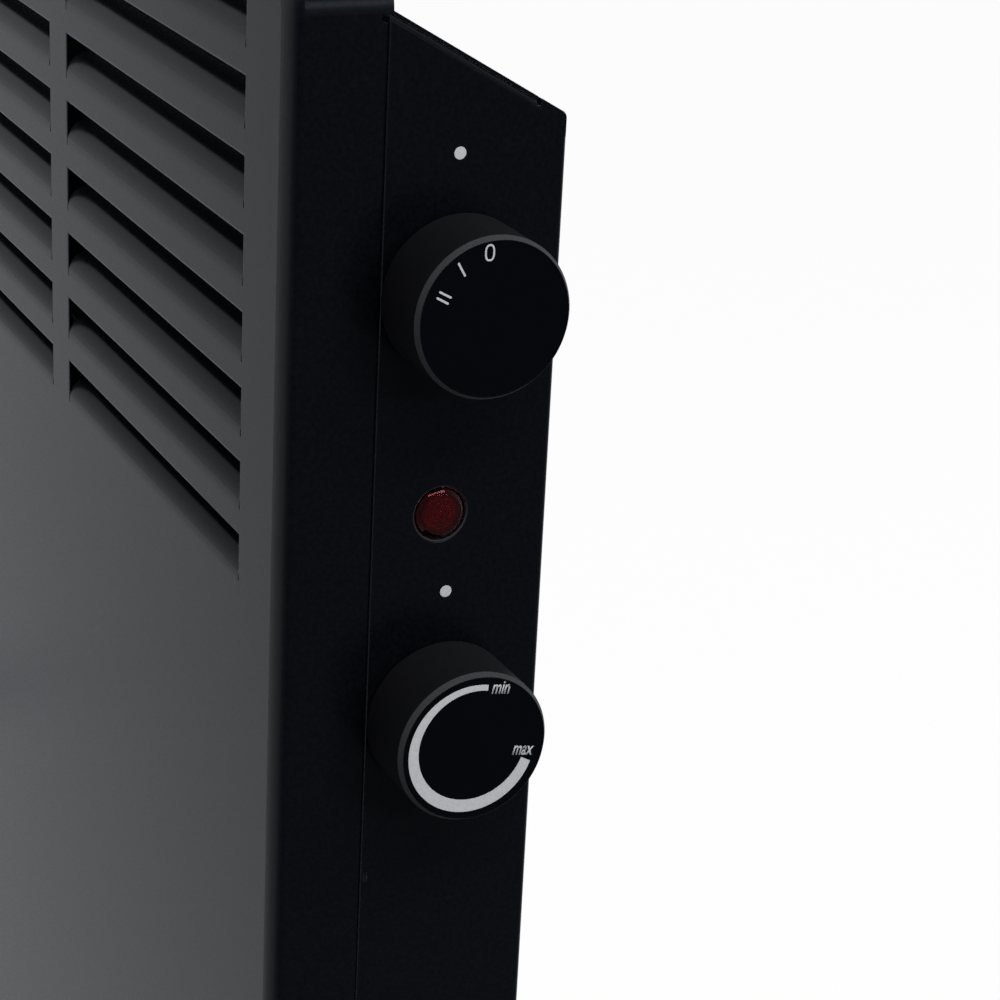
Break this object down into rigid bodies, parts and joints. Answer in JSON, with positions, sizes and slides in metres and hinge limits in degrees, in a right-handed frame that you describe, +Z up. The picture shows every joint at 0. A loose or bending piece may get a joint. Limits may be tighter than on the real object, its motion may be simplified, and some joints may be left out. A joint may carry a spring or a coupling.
{
  "type": "convector heater",
  "caption": "Free-standing panel convector heater: louvred front tray, sloped rear top, selector and thermostat knobs on one end, neon lamp, finned elements, moulded feet.",
  "frame": {"origin": "on the floor, under the middle of the bounding box", "axes": "+Z up, -Y the louvred front, +X the end with the controls"},
  "size_m": [0.6604, 0.18, 0.44],
  "materials": {
    "casing_paint": "satin powder coat, fine texture",
    "galvanised_sheet": "dull zinc",
    "bright_sheet": "bright rolled",
    "extrusion": "mill finish",
    "heater_sheath": "heat-tinted",
    "ceramic": "unglazed ceramic",
    "knob_plastic": "fine spark texture",
    "foot_plastic": "fine grain",
    "black_moulding": "semi-matt",
    "white_moulding": "semi-gloss",
    "rubber": "matt",
    "zinc_fastener": "bright zinc",
    "plated_brass": "plain",
    "spring_steel": "polished strip",
    "red_lens": "clear red",
    "bulb_glass": "clear",
    "brown_insulation": "smooth",
    "blue_insulation": "smooth",
    "red_insulation": "braided",
    "black_insulation": "smooth",
    "earth_insulation": "smooth, green and yellow",
    "white_insulation": "braided"
  },
  "bodies": {
    "casing": {"front_panel": "casing_paint", "right_side_panel": "casing_paint", "left_side_panel": "casing_paint", "back_panel": "casing_paint", "bottom_grille": "casing_paint", "foot_left": "foot_plastic", "foot_right": "foot_plastic", "foot_pads": "rubber", "foot_screws": "zinc_fastener", "case_screws": "zinc_fastener", "small_screws": "zinc_fastener", "control_partition": "casing_paint", "left_element_bracket": "galvanised_sheet", "heat_shield": "bright_sheet", "shield_rivets": "zinc_fastener", "lower_element_fins": "extrusion", "upper_element_fins": "extrusion", "lower_element_rod": "heater_sheath", "upper_element_rod": "heater_sheath", "element_insulators": "ceramic", "element_tabs": "spring_steel", "element_link": "plated_brass", "selector_body": "black_moulding", "selector_cover": "black_moulding", "selector_tabs": "plated_brass", "selector_yoke": "galvanised_sheet", "thermostat_bush": "plated_brass", "thermostat_nut": "zinc_fastener", "thermostat_frame": "galvanised_sheet", "thermostat_insulators": "ceramic", "thermostat_contact_blade": "plated_brass", "thermostat_bimetal": "spring_steel", "thermostat_rivet": "plated_brass", "lamp_lens": "red_lens", "lamp_body": "white_moulding", "neon_bulb": "bulb_glass", "lamp_bracket": "spring_steel", "cutout_cap": "bright_sheet", "cutout_body": "black_moulding", "cutout_tabs": "plated_brass", "terminal_block": "white_moulding", "terminal_screws": "plated_brass", "earth_stud": "plated_brass", "cord_gland": "black_moulding", "live_wire": "brown_insulation", "neutral_wire": "blue_insulation", "heat_wires": "red_insulation", "thermostat_wire": "black_insulation", "return_wire": "white_insulation", "earth_wire": "earth_insulation", "lamp_leads": "black_insulation", "spade_connectors": "white_moulding", "wire_clips": "white_moulding"},
    "selector": {"selector_knob": "knob_plastic", "selector_knob_clip": "spring_steel", "selector_shaft": "zinc_fastener", "selector_cam": "white_moulding"},
    "thermostat": {"thermostat_knob": "knob_plastic", "thermostat_knob_clip": "spring_steel", "thermostat_shaft": "white_moulding"}
  },
  "joints": [
    {"name": "selector_turn", "type": "hinge", "parent": "casing", "child": "selector", "pos_m": [0.30975, 0.0082, 0.3645], "axis": [-1, 0, 0], "range_deg": [0, 58]},
    {"name": "thermostat_turn", "type": "hinge", "parent": "casing", "child": "thermostat", "pos_m": [0.30975, 0.0082, 0.2595], "axis": [-1, 0, 0], "range_deg": [0, 250]}
  ]
}
